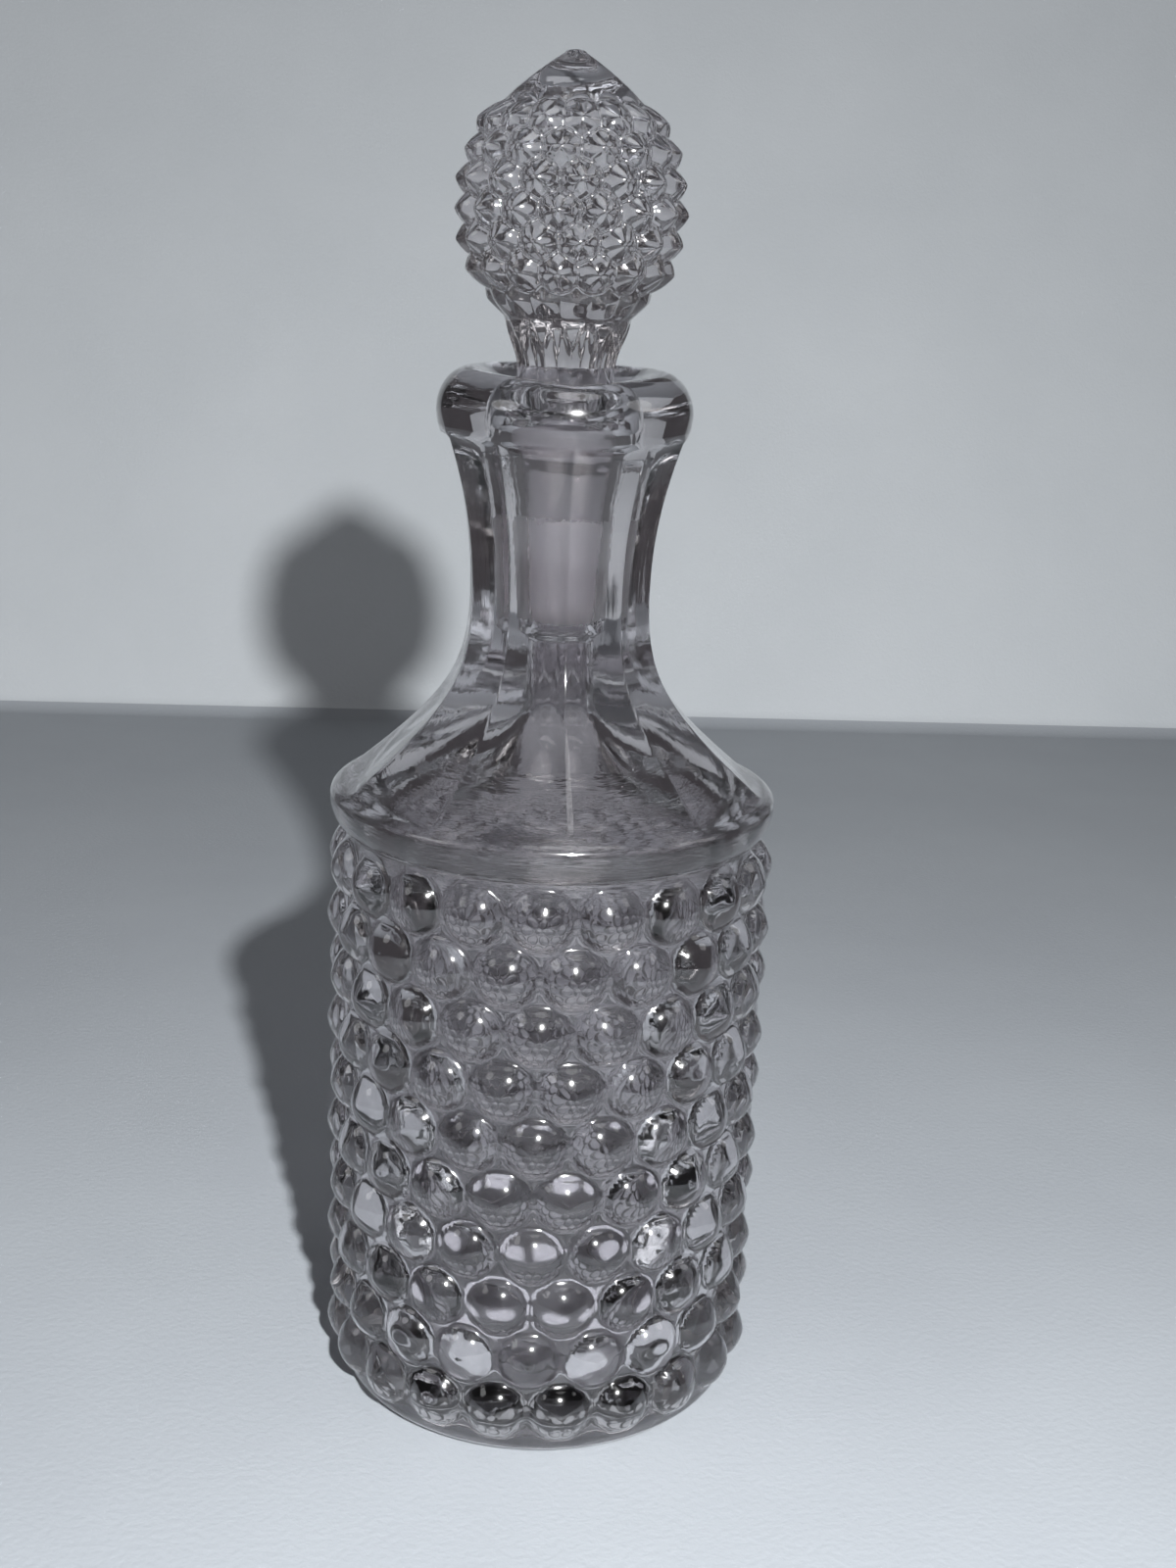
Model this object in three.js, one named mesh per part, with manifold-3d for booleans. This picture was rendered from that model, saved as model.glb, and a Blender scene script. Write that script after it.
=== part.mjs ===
// A pressed glass cruet for oil or vinegar: a bottle covered in rounded knobs, and the ground glass
// stopper that seats in its neck. Millimetres, +Z up. The origin is the middle of the foot, and the
// pouring spout faces -Y. Azimuths are measured from -Y towards +X.
import * as THREE from "three";
import { mergeGeometries, mergeVertices } from "three/addons/utils/BufferGeometryUtils.js";
import Module from "manifold-3d";

const { degToRad, inverseLerp, lerp, smoothstep } = THREE.MathUtils;

// Foot and body of the bottle
const footRadius = 27;
const footRecessRadius = 19.5;
const footRecessDepth = 1.2;
const heelHeight = 1.8;
const bodyRadius = 29.4;
const bodyHeight = 85.7;
const wallThickness = 4.6;
const floorThickness = 7.5;
const floorRound = 7;

// Knobs on the body, called hobs: rounded domes in staggered rows
const bodyHobRows = 10;
const bodyHobsPerRow = 20;
const bodyHobReach = 2.6;
const bodyHobTurn = degToRad(2);

// Collar round the shoulder
const collarOverhang = 2.4;
const collarLowerRise = 4.3;
const collarUpperRise = 1.9;
const collarTopInset = 2;

// Neck
const waistRadius = 12.9;
const waistRise = 27.6;
const neckRise = 48.5;
const neckTopRadius = 16.6;
const neckFlarePull = 0.85;
const fluteCount = 10;
const fluteDepth = 0.75;
const fluteRunIn = 1.5;

// Lip and spout
const lipRadius = 17.6;
const lipHeight = 9.4;
const lipRollHeight = 5.9;
const lipCrestRadius = 12.6;
const lipCreaseRise = 0.6;
const mouthRadius = 9.4;
const mouthRollDepth = 2.4;
const spoutReach = 2.6;
const spoutDip = 1.3;
const spoutHalfAngle = degToRad(38);

// Plug of the stopper, and the ground socket in the neck that it seats in
const plugLength = 34;
const plugTopRadius = 6.7;
const plugTipRadius = 5;
const plugEdgeRound = 1.4;
const jointClearance = 0.3;
const funnelDepth = 8;
const socketOverrun = 1.8;

// Bore below the socket, and the cavity that it opens into
const boreRadius = 3.5;
const boreShoulderDrop = 1.5;
const boreFootRise = 10;
const cavityShoulderDrop = 3;

// Stem of the stopper
const stemHeight = 6.6;
const stemTopRadius = 8.6;
const stemFluteCount = 12;
const stemFluteDepth = 0.7;

// Head of the stopper: an egg of two half ellipses, cut off at the stem and at the crown
const headRadius = 13.1;
const headLowerHeight = 14.2;
const headUpperHeight = 13.4;
const headLowerAxis = 18.8;
const headUpperAxis = 18.8;
const headHobRows = 7;
const headHobsPerRow = 16;
const headHobReach = 2.3;
const crownHeight = 6.5;
const crownTipRadius = 1.6;
const crownTipDrop = 0.6;

// Fineness of the faceted surfaces
const facetsPerFlute = 4;
const facetsPerHob = 2;

// Heights that follow from the sizes above
const collarTop = bodyHeight + collarLowerRise + collarUpperRise;
const neckTop = collarTop + neckRise;
const lipTop = neckTop + lipHeight;
const plugTip = lipTop - plugLength;
const stemTop = lipTop + stemHeight;
const headMiddle = stemTop + headLowerHeight;
const crownFoot = headMiddle + headUpperHeight;

const wasm = await Module();
wasm.setup();

// The place on a surface of revolution at an azimuth.
function turnedPlace(radius, azimuth, height) {
  return new THREE.Vector3(radius * Math.sin(azimuth), -radius * Math.cos(azimuth), height);
}

const noRelief = () => new THREE.Vector2(0, 0);

// One level of a turned outline. The point is a radius and a height. Relief gives the step that the
// glass takes away from that point at an azimuth, as a radius and a height again, and turn is the
// azimuth of the level's first facet.
function level(point, relief = noRelief, turn = 0) {
  return { point, relief, turn };
}

// Turns levels into a surface, each column of it moved by the levels' reliefs.
function turned(levels, facets) {
  const geometry = new THREE.LatheGeometry(
    levels.map(({ point }) => point),
    facets,
  );
  geometry.deleteAttribute("normal");
  geometry.deleteAttribute("uv");
  const position = geometry.attributes.position;
  for (let i = 0; i < position.count; i += 1) {
    const { point, relief, turn } = levels[i % levels.length];
    const column = Math.floor(i / levels.length) % facets;
    const azimuth = turn + (2 * Math.PI * column) / facets;
    const step = relief(azimuth);
    const place = turnedPlace(point.x + step.x, azimuth, point.y + step.y);
    position.setXYZ(i, place.x, place.y, place.z);
  }
  return geometry.toNonIndexed();
}

// Joins open surfaces that meet along their edges into one, and drops the faces without area that
// a turned surface has where it meets its axis.
function closed(surfaces) {
  const geometry = mergeVertices(mergeGeometries(surfaces));
  const corners = geometry.index.array;
  const kept = [];
  for (let i = 0; i < corners.length; i += 3) {
    const [a, b, c] = corners.subarray(i, i + 3);
    if (a !== b && b !== c && c !== a) kept.push(a, b, c);
  }
  geometry.setIndex(kept);
  geometry.computeVertexNormals();
  return geometry;
}

// A place beside an outline that runs upwards, at a share of its length, moved outwards by a relief.
// The share of the outline's end may be rounded to a little over 1.
function outlinePlace(outline, share, azimuth, relief) {
  const within = Math.min(share, 1);
  const point = outline.getPoint(within);
  const along = outline.getTangent(within);
  return turnedPlace(point.x + relief * along.y, azimuth, point.y - relief * along.x);
}

// A turned band that is covered in hobs: six-sided faceted domes in staggered rows, whose bases share
// their corners. It fills its outline from end to end, so the rows follow the outline's length.
function hobBand(outline, rowCount, hobsPerRow, firstTurn, reachAt) {
  const rowStep = 1 / (rowCount - 1 + 4 / 3);
  const halfPitch = Math.PI / hobsPerRow;
  const baseCorners = [
    [0, 2 / 3],
    [-1, 1 / 3],
    [-1, -1 / 3],
    [0, -2 / 3],
    [1, -1 / 3],
    [1, 1 / 3],
  ];
  const flankShare = 0.6;
  const flankHeight = 0.72;
  const places = [];
  for (let row = 0; row < rowCount; row += 1) {
    const share = (2 / 3 + row) * rowStep;
    const rowTurn = firstTurn + (row % 2) * halfPitch;
    for (let hob = 0; hob < hobsPerRow; hob += 1) {
      const turn = rowTurn + 2 * hob * halfPitch;
      const reach = reachAt(share);
      const ring = (spread, height) =>
        baseCorners.map(([across, up]) =>
          outlinePlace(
            outline,
            share + spread * up * rowStep,
            turn + spread * across * halfPitch,
            height * reach,
          ),
        );
      const tip = outlinePlace(outline, share, turn, reach);
      const flank = ring(flankShare, flankHeight);
      const base = ring(1, 0);
      flank.forEach((place, i) => {
        const next = (i + 1) % flank.length;
        places.push(tip, place, flank[next]);
        places.push(place, base[i], base[next]);
        places.push(place, base[next], flank[next]);
      });
    }
  }
  for (let hob = 0; hob < hobsPerRow; hob += 1) {
    const lowTurn = firstTurn + 2 * hob * halfPitch;
    const highTurn = lowTurn + ((rowCount - 1) % 2) * halfPitch;
    const low = (step, share) => outlinePlace(outline, share, lowTurn + step * halfPitch, 0);
    const high = (step, share) => outlinePlace(outline, share, highTurn + step * halfPitch, 0);
    const notch = rowStep / 3;
    places.push(low(0, 0), low(1, 0), low(1, notch));
    places.push(low(1, 0), low(2, 0), low(1, notch));
    places.push(high(1, 1), high(0, 1), high(1, 1 - notch));
    places.push(high(2, 1), high(1, 1), high(1, 1 - notch));
  }
  return new THREE.BufferGeometry().setFromPoints(places);
}

// A flute is a hollow between two sharp ridges, and one ridge faces the front.
function fluteShare(azimuth, count) {
  return Math.abs(Math.sin((count * azimuth) / 2));
}

// The spout's share at an azimuth: whole at the front, and nothing outside the spout.
function spoutShare(azimuth) {
  const turn = Math.abs(azimuth - 2 * Math.PI * Math.round(azimuth / (2 * Math.PI)));
  return Math.cos((Math.PI / 2) * Math.min(1, turn / spoutHalfAngle)) ** 2;
}

// The direction out of the glass at each point of an outline that runs upwards.
function outlineNormals(points) {
  return points.map((point, i) => {
    const before = points[Math.max(0, i - 1)];
    const after = points[Math.min(points.length - 1, i + 1)];
    const along = after.clone().sub(before).normalize();
    return new THREE.Vector2(along.y, -along.x);
  });
}

// The recessed underside, the flat ring that the bottle stands on, and the round of the heel
function footLevels() {
  const recess = [
    new THREE.Vector2(0, footRecessDepth),
    new THREE.Vector2(footRecessRadius, footRecessDepth),
    new THREE.Vector2(footRecessRadius + footRecessDepth, 0),
  ];
  const heel = new THREE.EllipseCurve(
    footRadius,
    heelHeight,
    bodyRadius - footRadius,
    heelHeight,
    -Math.PI / 2,
    0,
  ).getPoints(3);
  return [...recess, ...heel].map((point) => level(point, noRelief, bodyHobTurn));
}

// The straight wall with its hobs, from the heel to the collar
function bodyBand() {
  const wall = new THREE.LineCurve(
    new THREE.Vector2(bodyRadius, heelHeight),
    new THREE.Vector2(bodyRadius, bodyHeight),
  );
  return hobBand(wall, bodyHobRows, bodyHobsPerRow, bodyHobTurn, () => bodyHobReach);
}

// The smooth rounded ring round the shoulder
function collarLevels() {
  const collarRadius = bodyRadius + collarOverhang;
  const widest = bodyHeight + collarLowerRise;
  const wallTop = new THREE.Vector2(bodyRadius, bodyHeight);
  const lower = new THREE.EllipseCurve(
    bodyRadius,
    widest,
    collarOverhang,
    collarLowerRise,
    -Math.PI / 2,
    0,
  ).getPoints(3);
  const upper = new THREE.QuadraticBezierCurve(
    new THREE.Vector2(collarRadius, widest),
    new THREE.Vector2(collarRadius, widest + 0.6 * collarUpperRise),
    new THREE.Vector2(collarRadius - collarTopInset, collarTop),
  ).getPoints(3);
  return [
    level(wallTop, noRelief, bodyHobTurn),
    ...[...lower.slice(1), ...upper.slice(1)].map((point) => level(point)),
  ];
}

// The fluted neck, in from the collar to its waist and out again to the lip
function neckLevels() {
  const foot = new THREE.Vector2(bodyRadius + collarOverhang - collarTopInset, collarTop);
  const waist = new THREE.Vector2(waistRadius, collarTop + waistRise);
  const top = new THREE.Vector2(neckTopRadius, neckTop);
  const lower = new THREE.CubicBezierCurve(
    foot,
    new THREE.Vector2(lerp(foot.x, waist.x, neckFlarePull), lerp(foot.y, waist.y, 0.43)),
    new THREE.Vector2(waist.x, lerp(foot.y, waist.y, 0.58)),
    waist,
  ).getPoints(7);
  const upper = new THREE.CubicBezierCurve(
    waist,
    new THREE.Vector2(waist.x, lerp(waist.y, top.y, 0.44)),
    new THREE.Vector2(lerp(waist.x, top.x, 0.54), lerp(waist.y, top.y, 0.75)),
    top,
  ).getPoints(4);
  const points = [...lower.slice(1), ...upper.slice(1)];
  const normals = outlineNormals(points);
  return points.map((point, i) => {
    const depth = fluteDepth * smoothstep(point.y, collarTop, collarTop + fluteRunIn);
    const relief = (azimuth) =>
      normals[i].clone().multiplyScalar(-depth * fluteShare(azimuth, fluteCount));
    return level(point, relief);
  });
}

// The thick rolled lip, drawn out and down at the front into the spout
function lipLevels() {
  const outside = new THREE.EllipseCurve(
    lipCrestRadius,
    lipTop - lipRollHeight,
    lipRadius - lipCrestRadius,
    lipRollHeight,
    0,
    Math.PI / 2,
  ).getPoints(4);
  const inside = new THREE.EllipseCurve(
    lipCrestRadius,
    lipTop - mouthRollDepth,
    lipCrestRadius - mouthRadius,
    mouthRollDepth,
    Math.PI / 2,
    Math.PI,
  ).getPoints(3);
  const crease = new THREE.Vector2(lerp(neckTopRadius, lipRadius, 0.3), neckTop + lipCreaseRise);
  return [crease, ...outside, ...inside.slice(1)].map((point) => {
    const share = smoothstep(point.y, neckTop, lipTop);
    const relief = (azimuth) =>
      new THREE.Vector2(spoutReach, -spoutDip).multiplyScalar(share * spoutShare(azimuth));
    return level(point, relief);
  });
}

// The plug's radius at a height: it tapers evenly from the lip to its tip.
function plugRadiusAt(height) {
  return lerp(plugTipRadius, plugTopRadius, (height - plugTip) / plugLength);
}

// The inside, from the mouth down to the middle of the floor
function insideLevels() {
  const mouthFoot = lipTop - mouthRollDepth;
  const socketTop = lipTop - funnelDepth;
  const socketTopRadius = plugRadiusAt(socketTop) + jointClearance;
  const socketFoot = plugTip - socketOverrun;
  const socketFootRadius = plugRadiusAt(socketFoot) + jointClearance;
  const boreTop = socketFoot - boreShoulderDrop;
  const cavityRadius = bodyRadius - wallThickness;
  const cavityShoulder = bodyHeight - cavityShoulderDrop;
  const boreFoot = collarTop + boreFootRise;
  const funnel = new THREE.CubicBezierCurve(
    new THREE.Vector2(mouthRadius, mouthFoot),
    new THREE.Vector2(mouthRadius, lerp(mouthFoot, socketTop, 0.4)),
    new THREE.Vector2(socketTopRadius, lerp(mouthFoot, socketTop, 0.5)),
    new THREE.Vector2(socketTopRadius, socketTop),
  ).getPoints(3);
  const shoulder = new THREE.CubicBezierCurve(
    new THREE.Vector2(boreRadius, boreFoot),
    new THREE.Vector2(boreRadius, lerp(boreFoot, cavityShoulder, 0.42)),
    new THREE.Vector2(cavityRadius, lerp(boreFoot, cavityShoulder, 0.48)),
    new THREE.Vector2(cavityRadius, cavityShoulder),
  ).getPoints(8);
  const floor = new THREE.EllipseCurve(
    cavityRadius - floorRound,
    floorThickness + floorRound,
    floorRound,
    floorRound,
    0,
    -Math.PI / 2,
    true,
  ).getPoints(3);
  const socketEnd = new THREE.Vector2(socketFootRadius, socketFoot);
  const boreEnd = new THREE.Vector2(boreRadius, boreTop);
  const middle = new THREE.Vector2(0, floorThickness);
  const points = [...funnel.slice(1), socketEnd, boreEnd, ...shoulder, ...floor, middle];
  return points.map((point) => level(point));
}

function bottleGeometry() {
  const facets = bodyHobsPerRow * facetsPerHob;
  const upperLevels = [...collarLevels(), ...neckLevels(), ...lipLevels(), ...insideLevels()];
  return closed([
    turned(footLevels(), facets),
    bodyBand(),
    turned(upperLevels, facets),
  ]);
}

// The tapered plug and the short fluted stem, up to a blunt end that is buried in the head
function plugAndStemGeometry() {
  const edge = new THREE.EllipseCurve(
    plugTipRadius - plugEdgeRound,
    plugTip + plugEdgeRound,
    plugEdgeRound,
    plugEdgeRound,
    -Math.PI / 2,
    0,
  ).getPoints(3);
  const flare = new THREE.CubicBezierCurve(
    new THREE.Vector2(plugTopRadius, lipTop),
    new THREE.Vector2(plugTopRadius, lerp(lipTop, stemTop, 0.3)),
    new THREE.Vector2(lerp(plugTopRadius, stemTopRadius, 0.8), lerp(lipTop, stemTop, 0.6)),
    new THREE.Vector2(stemTopRadius, stemTop),
  ).getPoints(4);
  const stem = flare.map((point) => {
    const rise = inverseLerp(lipTop, stemTop, point.y);
    const depth = stemFluteDepth * Math.sin(Math.PI * rise);
    const relief = (azimuth) =>
      new THREE.Vector2(-depth * fluteShare(azimuth, stemFluteCount), 0);
    return level(point, relief);
  });
  const buried = new THREE.Vector2(0, stemTop + stemTopRadius / 2);
  const levels = [
    level(new THREE.Vector2(0, plugTip)),
    ...edge.map((point) => level(point)),
    ...stem,
    level(buried),
  ];
  return closed([turned(levels, stemFluteCount * facetsPerFlute)]);
}

// The egg shape of the head under its hobs, from the stem to the crown
function headOutline() {
  const outline = new THREE.CurvePath();
  const lowAngle = -Math.asin(headLowerHeight / headLowerAxis);
  const highAngle = Math.asin(headUpperHeight / headUpperAxis);
  outline.add(new THREE.EllipseCurve(0, headMiddle, headRadius, headLowerAxis, lowAngle, 0));
  outline.add(new THREE.EllipseCurve(0, headMiddle, headRadius, headUpperAxis, 0, highAngle));
  return outline;
}

// The head with its hobs and its smooth pointed crown, from an end that is buried in the stem. The
// hobs are flatter where the head is narrower.
function headGeometry() {
  const outline = headOutline();
  const facets = headHobsPerRow * facetsPerHob;
  const reachAt = (share) => headHobReach * (outline.getPoint(share).x / headRadius) ** 2;
  const low = outline.getPoint(0);
  const high = outline.getPoint(1);
  const underside = [new THREE.Vector2(0, low.y - low.x / 2), low];
  const crown = [
    high,
    new THREE.Vector2(crownTipRadius, crownFoot + crownHeight - crownTipDrop),
    new THREE.Vector2(0, crownFoot + crownHeight),
  ];
  return closed([
    turned(underside.map((point) => level(point)), facets),
    hobBand(outline, headHobRows, headHobsPerRow, 0, reachAt),
    turned(crown.map((point) => level(point)), facets),
  ]);
}

// A closed geometry as a solid that can be joined to another
function solidOf(geometry) {
  const vertProperties = geometry.attributes.position.array;
  const triVerts = new Uint32Array(geometry.index.array);
  return new wasm.Manifold(new wasm.Mesh({ numProp: 3, vertProperties, triVerts }));
}

function geometryOf(solid) {
  const { vertProperties, triVerts } = solid.getMesh();
  const geometry = new THREE.BufferGeometry();
  geometry.setAttribute("position", new THREE.BufferAttribute(vertProperties, 3));
  geometry.setIndex(new THREE.BufferAttribute(triVerts, 1));
  geometry.computeVertexNormals();
  return geometry;
}

function stopperGeometry() {
  return geometryOf(solidOf(plugAndStemGeometry()).add(solidOf(headGeometry())));
}

// Clear pressed glass with a faint violet grey tint
function bottleGlass() {
  return new THREE.MeshStandardMaterial({ color: 0xd6d5dc, roughness: 0.05, metalness: 0 });
}

// The same glass, a little duller for the ground plug
function stopperGlass() {
  return new THREE.MeshStandardMaterial({ color: 0xdcdbe2, roughness: 0.12, metalness: 0 });
}

function piece(name, geometry, material) {
  const mesh = new THREE.Mesh(geometry, material);
  mesh.name = name;
  return mesh;
}

const cruet = new THREE.Group();
cruet.add(piece("bottle", bottleGeometry(), bottleGlass()));
cruet.add(piece("stopper", stopperGeometry(), stopperGlass()));

export default cruet;
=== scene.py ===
import math

import bmesh
import bpy
from mathutils import Matrix, Vector


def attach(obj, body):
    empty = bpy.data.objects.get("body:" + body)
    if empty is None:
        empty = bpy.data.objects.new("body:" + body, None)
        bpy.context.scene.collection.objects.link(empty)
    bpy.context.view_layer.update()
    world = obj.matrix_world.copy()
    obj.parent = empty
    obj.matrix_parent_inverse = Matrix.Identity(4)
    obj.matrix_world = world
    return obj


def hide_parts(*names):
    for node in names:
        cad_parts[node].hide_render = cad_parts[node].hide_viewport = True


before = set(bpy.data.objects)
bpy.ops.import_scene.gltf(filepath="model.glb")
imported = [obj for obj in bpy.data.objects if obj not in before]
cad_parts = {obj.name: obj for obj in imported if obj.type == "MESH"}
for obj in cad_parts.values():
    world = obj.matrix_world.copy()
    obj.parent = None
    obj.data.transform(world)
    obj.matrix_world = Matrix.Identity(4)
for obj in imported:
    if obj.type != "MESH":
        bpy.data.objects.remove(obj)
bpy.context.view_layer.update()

MM = 0.001
NEAR = 0.01  # millimetres: places closer than this are the same

# The view
# A hand-held camera close to the cruet, level with the stopper's head and looking down at the
# spout. It stands a little to the left of the spout and is tipped slightly to one side.
view_reach, view_height = 0.2718, 0.1666
view_turn, view_pan, view_drop, view_tip = (math.radians(a) for a in (5, 6.06, 15.5, 2.1))
bpy.ops.object.camera_add(
    location=(-view_reach * math.sin(view_turn), -view_reach * math.cos(view_turn), view_height)
)
camera = bpy.context.object
camera.name = "camera"
camera.rotation_euler = (
    Matrix.Rotation(-view_pan, 3, "Z")
    @ Matrix.Rotation(math.pi / 2 - view_drop, 3, "X")
    @ Matrix.Rotation(view_tip, 3, "Z")
).to_euler()
camera.data.lens = 45
camera.data.sensor_width = 36
camera.data.clip_start = 0.01
bpy.context.scene.camera = camera

# The table
# A sheet of pale blue grey card on a table, bent up softly behind the cruet and leaning back. It
# is matt with a faint mottled tone. Where it lies it is painted darker, as painted shade, and where
# it stands it is painted paler, as painted light. It isn't part of the object.


class Channel:
    """A socket that adds up, multiplies and compares like a number."""

    def __init__(self, material, socket):
        self.material, self.socket = material, socket

    def math(self, operation, *others):
        return self.material.node(
            "ShaderNodeMath", {"operation": operation}, {0: self, **dict(enumerate(others, 1))}
        )

    def __add__(self, other):
        return self.math("ADD", other)

    def __mul__(self, other):
        return self.math("MULTIPLY", other)

    def __sub__(self, other):
        return self.math("SUBTRACT", other)

    def __rsub__(self, other):
        return (self * -1).math("ADD", other)

    def __lt__(self, other):
        return self.math("LESS_THAN", other)

    def __gt__(self, other):
        return self.math("GREATER_THAN", other)

    def __pow__(self, other):
        return self.math("POWER", other)

    __radd__, __rmul__ = __add__, __mul__


class Finish:
    """A material on one Principled shader, and the nodes that feed it."""

    def __init__(self, name, colour, roughness, **constants):
        self.material = bpy.data.materials.new(name)
        self.material.use_nodes = True
        self.tree = self.material.node_tree
        self.shader = self.tree.nodes["Principled BSDF"]
        self.set(base_color=(*colour, 1), roughness=roughness, **constants)
        self.place = self.node("ShaderNodeTexCoord", output="Object")

    def node(self, kind, settings=None, sockets=None, output=0):
        made = self.tree.nodes.new(kind)
        for name, value in (settings or {}).items():
            setattr(made, name, value)
        for name, value in (sockets or {}).items():
            self.feed(made.inputs[name], value)
        return Channel(self, made.outputs[output])

    def feed(self, socket, value):
        if isinstance(value, Channel):
            self.tree.links.new(value.socket, socket)
        else:
            socket.default_value = value

    def set(self, **sockets):
        for name, value in sockets.items():
            self.feed(self.shader.inputs[name.replace("_", " ").title().replace("Ior", "IOR")], value)

    def noise(self, scale, detail=2, roughness=0.5, place=None):
        return self.node(
            "ShaderNodeTexNoise",
            sockets={
                "Vector": place or self.place,
                "Scale": scale,
                "Detail": detail,
                "Roughness": roughness,
            },
        )

    def colour(self, value):
        """What a colour socket takes: a link as it is, or a colour with its alpha."""
        return value if isinstance(value, Channel) else (*value, 1)

    def mix(self, share, first, second):
        return self.node(
            "ShaderNodeMix",
            {"data_type": "RGBA"},
            {0: share, 6: self.colour(first), 7: self.colour(second)},
            output=2,
        )

    def bump(self, height, depth):
        self.set(normal=self.node("ShaderNodeBump", sockets={"Height": height, "Distance": depth}))

    def paint(self, piece):
        piece.data.materials.clear()
        piece.data.materials.append(self.material)


def pick(piece, wanted):
    """Selects the vertices whose place in millimetres is wanted, with the piece in edit mode."""
    mesh = bmesh.from_edit_mesh(piece.data)
    bpy.context.tool_settings.mesh_select_mode = (True, False, False)
    for vertex in mesh.verts:
        vertex.select = wanted(vertex.co / MM)
    mesh.select_flush_mode()
    bmesh.update_edit_mesh(piece.data)


card_side, card_fold, card_rise, fold_round = 330, 410, 400, 6
card_lean, card_turn = math.radians(25), math.radians(2.9)
# Painted shade and light: the lying part of the card is painted darker and the standing part paler,
# for how the lamps fall on it. Within each pair, the dark and pale colours are the card's own mottled
# tone.
painted_shade_lying_dark, painted_shade_lying_pale = (0.24, 0.26, 0.285), (0.31, 0.335, 0.36)
painted_light_standing_dark, painted_light_standing_pale = (0.40, 0.43, 0.455), (0.50, 0.53, 0.555)
bpy.ops.object.select_all(action="DESELECT")
bpy.ops.mesh.primitive_plane_add(size=2 * card_side * MM)
card = bpy.context.object
card.name = "card"
bpy.ops.object.mode_set(mode="EDIT")
pick(card, lambda place: place.y > 0)
bpy.ops.transform.translate(value=(0, (card_fold - card_side) * MM, 0))
bpy.ops.mesh.extrude_region_move(
    TRANSFORM_OT_translate={
        "value": (0, card_rise * math.sin(card_lean) * MM, card_rise * math.cos(card_lean) * MM)
    }
)
pick(card, lambda place: abs(place.z) < 1 and place.y > 0)
bpy.ops.mesh.bevel(offset=fold_round * MM, segments=6, affect="EDGES")
bpy.ops.mesh.select_all(action="SELECT")
bpy.ops.transform.rotate(value=card_turn, orient_axis="Z", center_override=(0, 0, 0))
bpy.ops.object.mode_set(mode="OBJECT")
bpy.ops.object.shade_smooth()
card_finish = Finish("card", painted_light_standing_pale, 0.7)
tone = card_finish.noise(9, 5, 0.6)
rise = card_finish.node("ShaderNodeSeparateXYZ", sockets={"Vector": card_finish.place}, output=2)
# The mottled tone is mixed into a painted shade copy for where the card lies and a painted light copy
# for where it stands.
painted_shade_lying = card_finish.mix(tone, painted_shade_lying_dark, painted_shade_lying_pale)
painted_light_standing = card_finish.mix(tone, painted_light_standing_dark, painted_light_standing_pale)
card_finish.set(base_color=card_finish.mix(rise > fold_round / 2 * MM, painted_shade_lying, painted_light_standing))
card_finish.bump(card_finish.noise(900, 3), 0.1 * MM)
card_finish.paint(card)

# The bottle
# One piece of clear pressed glass with a faint violet grey tint: a straight wall covered in rounded
# hobs, a smooth collar, a fluted neck and a rolled lip with a spout. It is pressed in a mould, its
# neck and lip are drawn in while hot, and the socket in the neck is then ground with a steel taper.
columns = 320
column = 360 / columns
foot_radius, recess_radius, recess_depth, heel_height = 27, 19.5, 1.2, 1.8
recess_round, recess_slope = 0.6, 1.4
body_radius, body_height, glass_wall, glass_floor, floor_round = 29.4, 85.7, 4.6, 7.5, 7
hob_rows, hobs_per_row, hob_reach, hob_radius, hob_turn = 10, 20, 2.8, 4.3, 2 * column
levels_per_row = 15
collar_overhang, collar_lower, collar_upper, collar_inset = 2.4, 4.3, 1.9, 2
waist_radius, waist_rise, neck_rise, neck_top_radius = 12.9, 27.6, 48.5, 16.6
flutes, flute_share = 10, 0.06
lip_radius, lip_height, lip_roll, lip_crest, crease_rise = 17.6, 9.4, 5.9, 12.6, 0.6
mouth_radius, mouth_roll, funnel_depth = 9.4, 2.4, 8
spout_reach, spout_dip, spout_width = 2.6, 1.3, 17
plug_length, plug_top, plug_tip, joint_gap = 34, 6.7, 5, 0.05
bore_radius, bore_drop, bore_foot_rise, socket_overrun, shoulder_drop = 3.5, 1.5, 10, 1.8, 3

collar_top = body_height + collar_lower + collar_upper
waist = collar_top + waist_rise
neck_top = collar_top + neck_rise
lip_top = neck_top + lip_height
tip_height = lip_top - plug_length


def between(a, b, share):
    return a + (b - a) * share


def arc(middle, radii, start, end, steps):
    """Points on an ellipse. Its angles are in degrees, from outwards to up."""
    angles = [math.radians(between(start, end, i / steps)) for i in range(steps + 1)]
    return [
        (middle[0] + radii[0] * math.cos(a), middle[1] + radii[1] * math.sin(a)) for a in angles
    ]


def curve(start, first_pull, second_pull, end, steps):
    """Points on a curve that leaves for its first pull and arrives from its second."""
    made = []
    for i in range(steps + 1):
        t = i / steps
        shares = ((1 - t) ** 3, 3 * (1 - t) ** 2 * t, 3 * (1 - t) * t * t, t**3)
        pulls = (start, first_pull, second_pull, end)
        made.append(tuple(sum(s * p[k] for s, p in zip(shares, pulls)) for k in (0, 1)))
    return made


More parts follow.
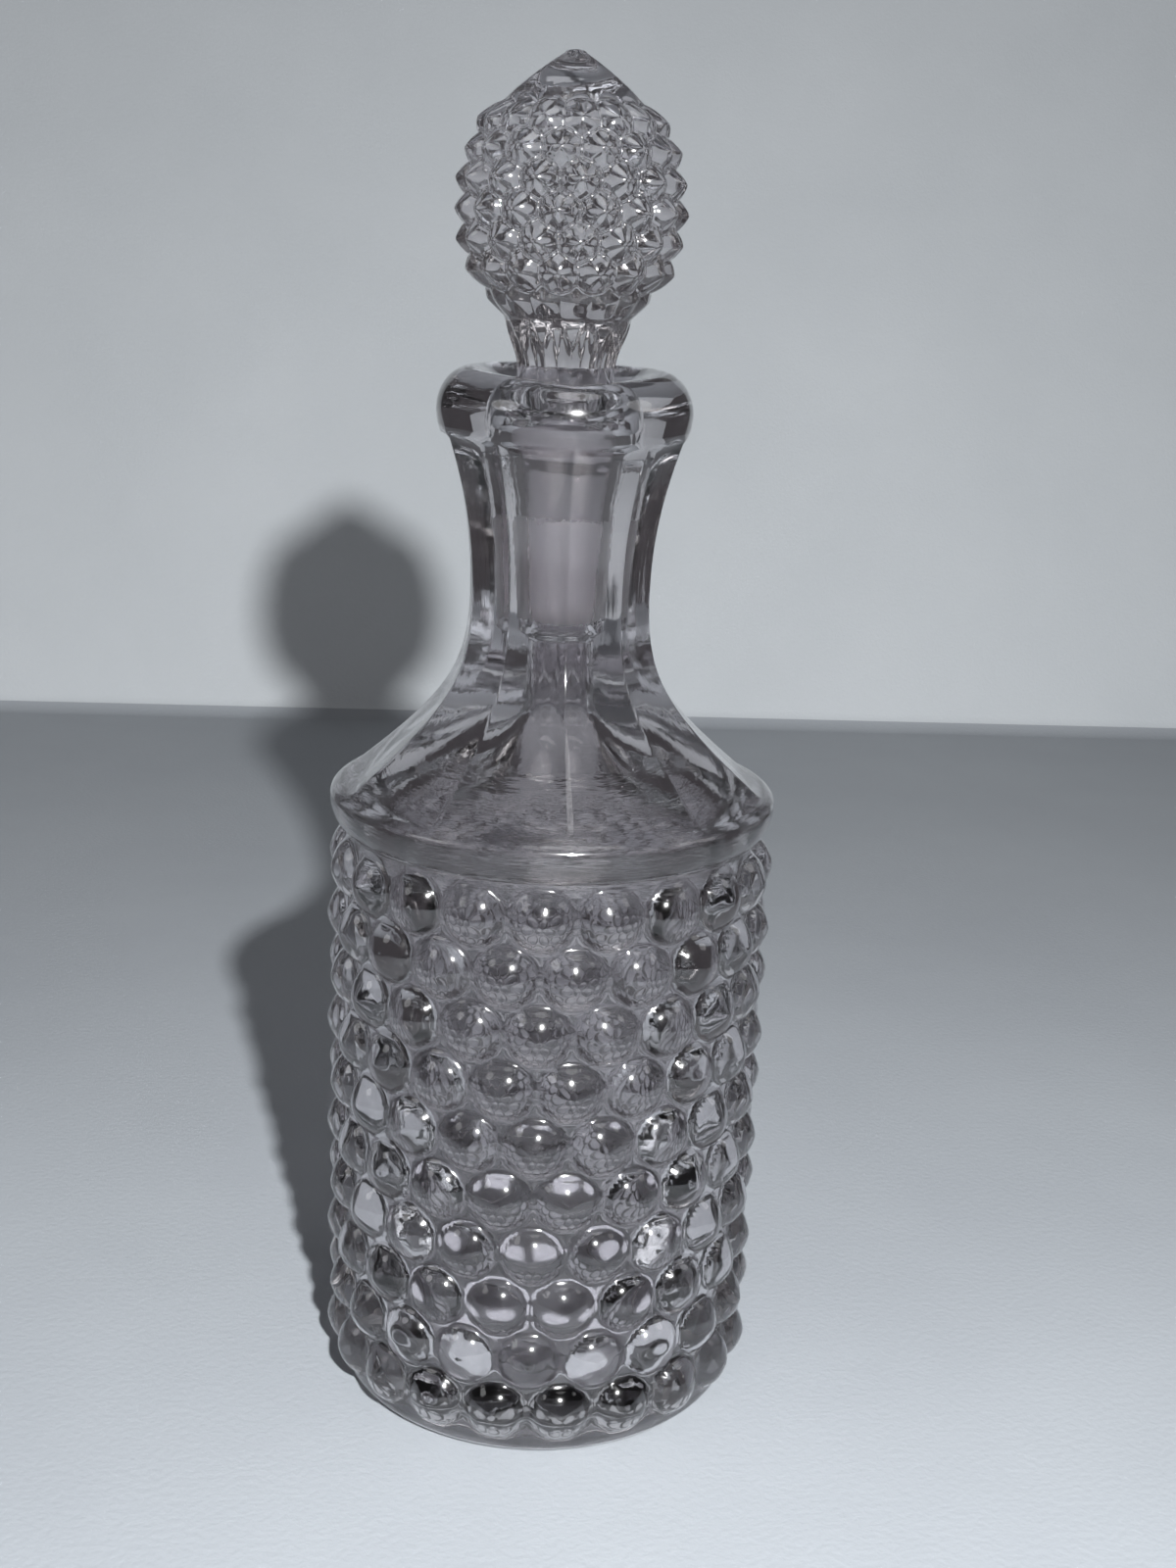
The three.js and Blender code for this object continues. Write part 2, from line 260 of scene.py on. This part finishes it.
def turn_up(name, outline, steps):
    """Draws an outline of radii and heights at the front and turns it round the cruet's axis."""
    bpy.ops.object.select_all(action="DESELECT")
    radius, height = outline[0]
    bpy.ops.mesh.primitive_plane_add(size=MM, location=(0, -radius * MM, height * MM))
    piece = bpy.context.object
    piece.name = name
    bpy.ops.object.transform_apply(location=True, rotation=True, scale=True)
    bpy.ops.object.mode_set(mode="EDIT")
    bpy.ops.mesh.select_all(action="SELECT")
    bpy.ops.mesh.merge(type="CENTER")
    for here, there in zip(outline, outline[1:]):
        step = (0, (here[0] - there[0]) * MM, (there[1] - here[1]) * MM)
        bpy.ops.mesh.extrude_vertices_move(TRANSFORM_OT_translate={"value": step})
    bpy.ops.mesh.select_all(action="SELECT")
    bpy.ops.mesh.spin(steps=steps, angle=2 * math.pi, center=(0, 0, 0), axis=(0, 0, 1))
    bpy.ops.mesh.select_all(action="SELECT")
    bpy.ops.mesh.remove_doubles(threshold=0.001 * MM)
    bpy.ops.mesh.normals_make_consistent(inside=False)
    return piece


def azimuth(place):
    """Degrees round the axis, from the front towards +X."""
    return math.degrees(math.atan2(place.x, -place.y))


def beside(angle, pitch):
    """How far an angle is from the nearest multiple of a pitch."""
    return abs(angle - pitch * round(angle / pitch))


def plug_radius(height):
    """The plug tapers evenly from the lip to its tip, and the socket follows it with a gap."""
    return between(plug_tip, plug_top, (height - tip_height) / plug_length)


row_step = (body_height - heel_height) / (hob_rows - 1 + 4 / 3)
wall_levels = round((hob_rows - 1 + 4 / 3) * levels_per_row)
wall_step = (body_height - heel_height) / wall_levels
underside = [
    (0, recess_depth),
    (recess_radius / 2, recess_depth),
    (recess_radius - recess_round, recess_depth),
    *curve(
        (recess_radius, recess_depth),
        (recess_radius + recess_slope / 2, recess_depth),
        (recess_radius + recess_round, 0),
        (recess_radius + recess_slope, 0),
        6,
    ),
]
heel = curve(
    (foot_radius, 0),
    (between(foot_radius, body_radius, 0.35), 0),
    (between(foot_radius, body_radius, 0.8), heel_height / 2),
    (body_radius, heel_height),
    8,
)
wall = [(body_radius, heel_height + i * wall_step) for i in range(1, wall_levels + 1)]
collar_radius, collar_middle = body_radius + collar_overhang, body_height + collar_lower
collar = [
    *arc((body_radius, collar_middle), (collar_overhang, collar_lower), -90, 0, 9)[1:],
    *curve(
        (collar_radius, collar_middle),
        (collar_radius, collar_middle + 0.4 * collar_upper),
        (collar_radius - collar_inset / 3, collar_middle + 0.73 * collar_upper),
        (collar_radius - collar_inset, collar_top),
        9,
    )[1:],
]
neck_foot = collar_radius - collar_inset
neck = [
    *curve(
        (neck_foot, collar_top),
        (between(neck_foot, waist_radius, 0.85), between(collar_top, waist, 0.43)),
        (waist_radius, between(collar_top, waist, 0.58)),
        (waist_radius, waist),
        22,
    )[1:],
    *curve(
        (waist_radius, waist),
        (waist_radius, between(waist, neck_top, 0.44)),
        (between(waist_radius, neck_top_radius, 0.54), between(waist, neck_top, 0.75)),
        (neck_top_radius, neck_top),
        14,
    )[1:],
]
lip = [
    (between(neck_top_radius, lip_radius, 0.42), neck_top + crease_rise),
    (between(neck_top_radius, lip_radius, 0.8), between(neck_top, lip_top - lip_roll, 0.5)),
    *arc((lip_crest, lip_top - lip_roll), (lip_radius - lip_crest, lip_roll), 0, 90, 14),
    *arc((lip_crest, lip_top - mouth_roll), (lip_crest - mouth_radius, mouth_roll), 90, 180, 8)[1:],
]
socket_top, socket_foot = lip_top - funnel_depth, tip_height - socket_overrun
funnel = curve(
    (mouth_radius, lip_top - mouth_roll),
    (mouth_radius, between(lip_top - mouth_roll, socket_top, 0.4)),
    (plug_radius(socket_top) + joint_gap, between(lip_top - mouth_roll, socket_top, 0.5)),
    (plug_radius(socket_top) + joint_gap, socket_top),
    8,
)[1:]
socket = [
    (plug_radius(height) + joint_gap, height)
    for height in (between(socket_top, socket_foot, i / 6) for i in range(1, 7))
]
cavity_radius, cavity_top = body_radius - glass_wall, body_height - shoulder_drop
bore_top, bore_foot = socket_foot - bore_drop, collar_top + bore_foot_rise
bore = [
    *curve(
        (bore_radius + 0.7, socket_foot - 0.5),
        (bore_radius + 0.2, socket_foot - 0.7),
        (bore_radius, bore_top + 0.2),
        (bore_radius, bore_top),
        4,
    ),
    *curve(
        (bore_radius, bore_foot),
        (bore_radius, between(bore_foot, cavity_top, 0.42)),
        (cavity_radius, between(bore_foot, cavity_top, 0.48)),
        (cavity_radius, cavity_top),
        20,
    ),
]
cavity = [
    *arc(
        (cavity_radius - floor_round, glass_floor + floor_round), (floor_round,) * 2, 0, -90, 8
    ),
    (cavity_radius / 2, glass_floor),
    (0, glass_floor),
]
bottle = turn_up(
    "glass_bottle",
    [*underside, *heel, *wall, *collar, *neck, *lip, *funnel, *socket, *bore, *cavity],
    columns,
)


def at_hob(place):
    """At the tip of a hob. Odd rows are turned by half a hob."""
    row = (place.z - heel_height) / row_step - 2 / 3
    on_wall = place.xy.length > body_radius - NEAR and -0.5 < row < hob_rows - 0.5
    pitch = 360 / hobs_per_row
    turn = hob_turn + round(row) % 2 * pitch / 2
    return on_wall and beside(row, 1) < NEAR and beside(azimuth(place) - turn, pitch) < column / 4


pick(bottle, at_hob)
for falloff, share in (("SPHERE", 0.72), ("LINEAR", 0.28)):
    grown = 1 + share * hob_reach / body_radius
    bpy.ops.transform.resize(
        value=(grown, grown, 1),
        center_override=(0, 0, 0),
        use_proportional_edit=True,
        proportional_edit_falloff=falloff,
        proportional_size=hob_radius * MM,
    )


def on_hobs(place):
    return heel_height < place.z < body_height and place.xy.length > body_radius + 0.3


pick(bottle, on_hobs)
bpy.ops.mesh.vertices_smooth(factor=0.5, repeat=1)

flute_columns = columns // flutes
outer_neck = {round(height, 1): radius for radius, height in [(neck_foot, collar_top), *neck]}
for side in range(1, flute_columns // 2 + 1):
    def on_flute(place):
        """On the outside of the neck, this many columns from a ridge."""
        radius = outer_neck.get(round(place.z, 1))
        return (
            radius is not None
            and abs(place.xy.length - radius) < NEAR
            and abs(beside(azimuth(place), 360 / flutes) - side * column) < column / 4
        )

    pick(bottle, on_flute)
    drawn = 1 - flute_share * math.sin(math.pi * side / flute_columns)
    bpy.ops.transform.resize(value=(drawn, drawn, 1), center_override=(0, 0, 0))


def at_spout(place):
    return abs(place.x) < NEAR and place.y < NEAR - lip_crest and place.z > lip_top - NEAR


# The ground socket stays round: it is hidden while the lip is drawn out at the front.
pick(bottle, lambda place: place.xy.length < plug_top + 0.6 and place.z > socket_foot - 1)
bpy.ops.mesh.hide(unselected=False)
pick(bottle, at_spout)
bpy.ops.transform.translate(
    value=(0, -spout_reach * MM, -spout_dip * MM),
    use_proportional_edit=True,
    proportional_edit_falloff="LINEAR",
    proportional_size=spout_width * MM,
)
bpy.ops.mesh.reveal(select=False)
bpy.ops.object.mode_set(mode="OBJECT")
bpy.ops.object.shade_smooth()

# The ground tint is paler than the glass tint: it is painted light for the lamp light that the ground
# glass catches.
glass_tint, painted_light_ground_tint = (0.735, 0.71, 0.73), (0.86, 0.84, 0.87)
wave_depth = 0.05


def pressed_glass(name):
    """Clear glass with a soft sheen, and the small waves that a mould leaves in it."""
    finish = Finish(
        name,
        glass_tint,
        0.02,
        transmission_weight=1,
        ior=1.5,
        coat_weight=0.6,
        coat_roughness=0.15,
        coat_ior=1.5,
    )
    finish.waves = finish.noise(110, 2) + 0.3 * finish.noise(420, 2)
    return finish


def grind_and_paint_light(finish, radius, low, high):
    """Grinds the glass matt within a radius of the axis, between two heights with ragged edges. The
    ground part is painted a paler tint, as painted light for the lamp light that it catches.
    """
    x, y, z = (
        finish.node("ShaderNodeSeparateXYZ", sockets={"Vector": finish.place}, output=i)
        for i in range(3)
    )
    edge = z + (finish.noise(300, 4, 0.7) - 0.5) * (ragged * MM)
    inside = (x * x + y * y) < (radius * MM) ** 2
    ground = inside * (edge > low * MM) * (edge < high * MM)
    film = finish.noise(260, 5, 0.7) ** 3
    # Painted light: the ground part takes the paler tint.
    finish.set(
        base_color=finish.mix(ground, glass_tint, painted_light_ground_tint),
        roughness=0.015 + 0.12 * film + ground * (0.5 + 0.3 * film),
    )


ground_top, ragged = 130.5, 4
bottle_finish = pressed_glass("pressed_glass")
height = bottle_finish.node(
    "ShaderNodeSeparateXYZ", sockets={"Vector": bottle_finish.place}, output=2
)


def marks(fineness, scale, low, high):
    """Marks that the mould or the tool left between two heights, finer along one axis."""
    stretched = bottle_finish.node(
        "ShaderNodeVectorMath", {"operation": "MULTIPLY"}, {0: bottle_finish.place, 1: fineness}
    )
    inside = (height > low * MM) * (height < high * MM)
    return inside * (bottle_finish.noise(scale, 3, 0.6, stretched) - 0.5)


chill_marks = marks((0.3, 0.3, 2.5), 520, cavity_top, collar_top + 2)
drawn_lines = marks((1, 1, 0.04), 900, collar_top + 6, neck_top - 2)
bottle_finish.bump(bottle_finish.waves + 3 * chill_marks + drawn_lines, wave_depth * MM)
grind_and_paint_light(bottle_finish, plug_top + 1, tip_height, ground_top)
bottle_finish.paint(bottle)
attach(bottle, "bottle")
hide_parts("bottle")

# The stopper
# One piece of the same glass: a solid plug that fits the socket, a short fluted stem and an egg of
# a head covered in small hobs under a smooth crown. It is pressed in a two-part mould, and the lower
# half of the plug is ground matt so that it grips.
stopper_columns = 288
stopper_column = 360 / stopper_columns
plug_edge, plug_levels = 1.4, 12
stem_height, stem_top_radius, stem_flutes, stem_flute_share = 6.6, 8.6, 12, 0.1
head_radius, head_low_height, head_high_height = 13.1, 14.2, 13.4
head_low_axis, head_high_axis = 18.8, 18.8
head_rows, head_hobs, head_reach, head_hob_radius = 7, 16, 2.6, 2.9
head_levels_per_row = 15
crown_height, crown_tip, crown_round = 6.5, 1.5, 0.5

stem_top = lip_top + stem_height
head_middle = stem_top + head_low_height
crown_foot = head_middle + head_high_height
plug = [
    (0, tip_height),
    (2, tip_height),
    *arc((plug_tip - plug_edge, tip_height + plug_edge), (plug_edge,) * 2, -90, 0, 8),
    *(
        (plug_radius(height), height)
        for height in (between(tip_height, lip_top, i / plug_levels) for i in range(1, plug_levels))
    ),
]
stem = curve(
    (plug_top, lip_top),
    (plug_top, between(lip_top, stem_top, 0.3)),
    (between(plug_top, stem_top_radius, 0.8), between(lip_top, stem_top, 0.6)),
    (stem_top_radius, stem_top),
    16,
)
low_angle = -math.degrees(math.asin(head_low_height / head_low_axis))
high_angle = math.degrees(math.asin(head_high_height / head_high_axis))
egg = [
    *arc((0, head_middle), (head_radius, head_low_axis), low_angle, 0, 400),
    *arc((0, head_middle), (head_radius, head_high_axis), 0, high_angle, 400)[1:],
]


def spaced(points, steps):
    """The same line with its points spaced evenly."""
    lengths = [0]
    for here, there in zip(points, points[1:]):
        lengths.append(lengths[-1] + math.dist(here, there))
    made, at = [], 0
    for i in range(steps + 1):
        wanted = lengths[-1] * i / steps
        while at < len(points) - 2 and lengths[at + 1] < wanted:
            at += 1
        share = (wanted - lengths[at]) / (lengths[at + 1] - lengths[at])
        made.append(tuple(between(a, b, share) for a, b in zip(points[at], points[at + 1])))
    return made


head_levels = round((head_rows - 1 + 4 / 3) * head_levels_per_row)
head = spaced(egg, head_levels)
crown_top = crown_foot + crown_height
crown = [
    *curve(
        head[-1],
        (between(head[-1][0], crown_tip, 0.2), between(crown_foot, crown_top, 0.28)),
        (between(head[-1][0], crown_tip, 0.75), between(crown_foot, crown_top, 0.76)),
        (crown_tip, crown_top - crown_round),
        10,
    )[1:],
    *arc((0, crown_top - crown_round), (crown_tip, crown_round), 30, 90, 4),
]
stopper = turn_up("glass_stopper", [*plug, *stem, *head[1:], *crown], stopper_columns)
row_heights = [head[round((2 / 3 + row) * head_levels_per_row)][1] for row in range(head_rows)]
for lowest_row, falloff, share in ((0, "LINEAR", 0.45), (1, "SPHERE", 0.55)):
    def at_head_hob(place):
        """At the tip of a hob of the head, from this row up. The lowest row stays flatter."""
        pitch = 360 / head_hobs
        return any(
            abs(place.z - row_heights[row]) < NEAR
            and beside(azimuth(place) - row % 2 * pitch / 2, pitch) < stopper_column / 4
            for row in range(lowest_row, head_rows)
        )

    pick(stopper, at_head_hob)
    grown = 1 + share * head_reach / head_radius
    bpy.ops.transform.resize(
        value=(grown, grown, 1),
        center_override=(0, 0, 0),
        use_proportional_edit=True,
        proportional_edit_falloff=falloff,
        proportional_size=head_hob_radius * MM,
    )
pick(stopper, lambda place: stem_top + 1 < place.z < crown_foot)
bpy.ops.mesh.vertices_smooth(factor=0.5, repeat=1)
stem_flute_columns = stopper_columns // stem_flutes
for side in range(1, stem_flute_columns // 2 + 1):
    share = math.sin(math.pi * side / stem_flute_columns)
    flute_end = between(lip_top, stem_top, 0.35 + 0.55 * share)

    def on_stem(place):
        """On the stem, this many columns from a ridge, below the arch that ends the flute."""
        return (
            lip_top - 2 < place.z < flute_end
            and abs(beside(azimuth(place), 360 / stem_flutes) - side * stopper_column)
            < stopper_column / 4
        )

    pick(stopper, on_stem)
    drawn = 1 - stem_flute_share * share
    bpy.ops.transform.resize(value=(drawn, drawn, 1), center_override=(0, 0, 0))
bpy.ops.object.mode_set(mode="OBJECT")
bpy.ops.object.shade_smooth()

stopper_finish = pressed_glass("stopper_glass")
stopper_finish.bump(stopper_finish.waves, wave_depth * MM)
grind_and_paint_light(stopper_finish, plug_top + 1, 0, ground_top)
stopper_finish.paint(stopper)
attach(stopper, "stopper")
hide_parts("stopper")

# The light
# A small bright lamp over the camera's right shoulder, a broad one overhead and a window at each
# side, in a dim room. Two small lamps in the recess of the foot stand for the light that the glass
# gathers on the table under it.


def lamp(name, place, aim, size, power):
    bpy.ops.object.light_add(type="AREA", location=place)
    made = bpy.context.object
    made.name = name
    made.rotation_euler = (Vector(aim) - Vector(place)).to_track_quat("-Z", "Y").to_euler()
    made.data.shape = "DISK"
    made.data.size = size
    made.data.energy = power


lamp("key", (0.033, -0.38, 0.291), (0, 0, 0.1), 0.016, 6)
lamp("overhead", (0.1, -0.2, 1.1), (0, 0.05, 0), 0.6, 1.3)
lamp("left window", (-0.6, -0.2, 0.45), (0, 0, 0.1), 0.3, 0.4)
lamp("right window", (0.6, -0.1, 0.5), (0, 0, 0.1), 0.3, 0.3)
gathered_side, gathered_back, gathered_size = 9 * MM, 3 * MM, 14 * MM
for across in (-gathered_side, gathered_side):
    spot = (across, gathered_back)
    lamp("gathered", (*spot, 1 * MM), (*spot, 0), gathered_size, 0.0016)
world = bpy.data.worlds.new("room")
world.use_nodes = True
room = world.node_tree.nodes["Background"]
room.inputs["Color"].default_value = (0.53, 0.5, 0.54, 1)
room.inputs["Strength"].default_value = 0.11
bpy.context.scene.world = world
bpy.context.scene.view_settings.view_transform = "Standard"
bpy.context.scene.cycles.max_bounces = 20
bpy.context.scene.cycles.transmission_bounces = 20
